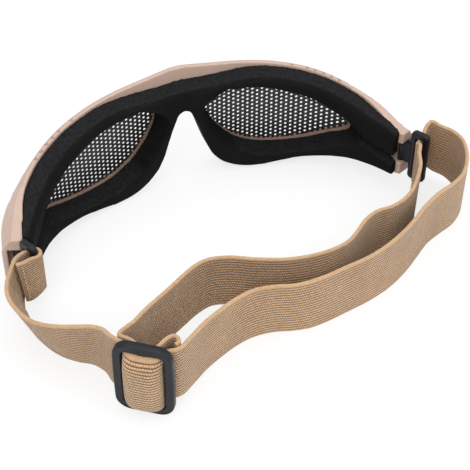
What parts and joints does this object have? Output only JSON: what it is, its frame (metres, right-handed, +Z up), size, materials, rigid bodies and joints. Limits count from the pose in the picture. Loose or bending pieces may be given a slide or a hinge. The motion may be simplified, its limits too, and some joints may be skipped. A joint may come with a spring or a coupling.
{
  "type": "mesh safety goggles",
  "caption": "Mesh safety goggles: curved tan shell with mesh eye screens, foam face padding, hinged strap loops and an adjustable elastic head strap with a slider.",
  "frame": {"origin": "on the table, in the mirror plane of the goggles, under the open mouth of the nose notch", "axes": "+X to the wearer's left, +Y to the back of the head, +Z up; the goggles' front faces -Y"},
  "size_m": [0.1901, 0.1245, 0.0511],
  "materials": {
    "shell": "satin moulded tan plastic",
    "mesh": "matt black coated mesh",
    "foam": "matt black closed-cell foam",
    "strap": "ribbed woven elastic, tan",
    "hardware": "satin blue-black moulded plastic",
    "thread": "tan sewing thread"
  },
  "bodies": {
    "goggles": {"frame": "shell", "foam_pad": "foam", "left_mesh_lens": "mesh", "right_mesh_lens": "mesh", "left_lens_retainer": "shell", "right_lens_retainer": "shell", "strap_left_stretch": "strap", "strap_front_band": "strap", "strap_inner_band": "strap"},
    "left_loop": {"left_strap_loop": "hardware", "strap_left_fold": "strap", "strap_left_stitching": "thread"},
    "right_loop": {"right_strap_loop": "hardware", "strap_right_turn": "strap"},
    "slider": {"strap_slider": "hardware", "strap_over_bar": "strap", "strap_end_wrap": "strap"}
  },
  "joints": [
    {"name": "left_loop_hinge", "type": "hinge", "parent": "goggles", "child": "left_loop", "pos_m": [0.07998, 0.03538, 0.0167], "axis": [0, 0, 1], "range_deg": [-73, 12], "deforming": ["strap_left_stretch", "strap_front_band", "strap_inner_band"]},
    {"name": "right_loop_hinge", "type": "hinge", "parent": "goggles", "child": "right_loop", "pos_m": [-0.07998, 0.03538, 0.0167], "axis": [0, 0, 1], "range_deg": [-68, 17], "deforming": ["strap_left_stretch", "strap_front_band", "strap_inner_band"]},
    {"name": "slider_slide", "type": "slide", "parent": "goggles", "child": "slider", "axis": [-0.7986, 0.6018, 0], "range_m": [-0.012, 0.012], "deforming": ["strap_left_stretch", "strap_front_band", "strap_inner_band"]}
  ]
}
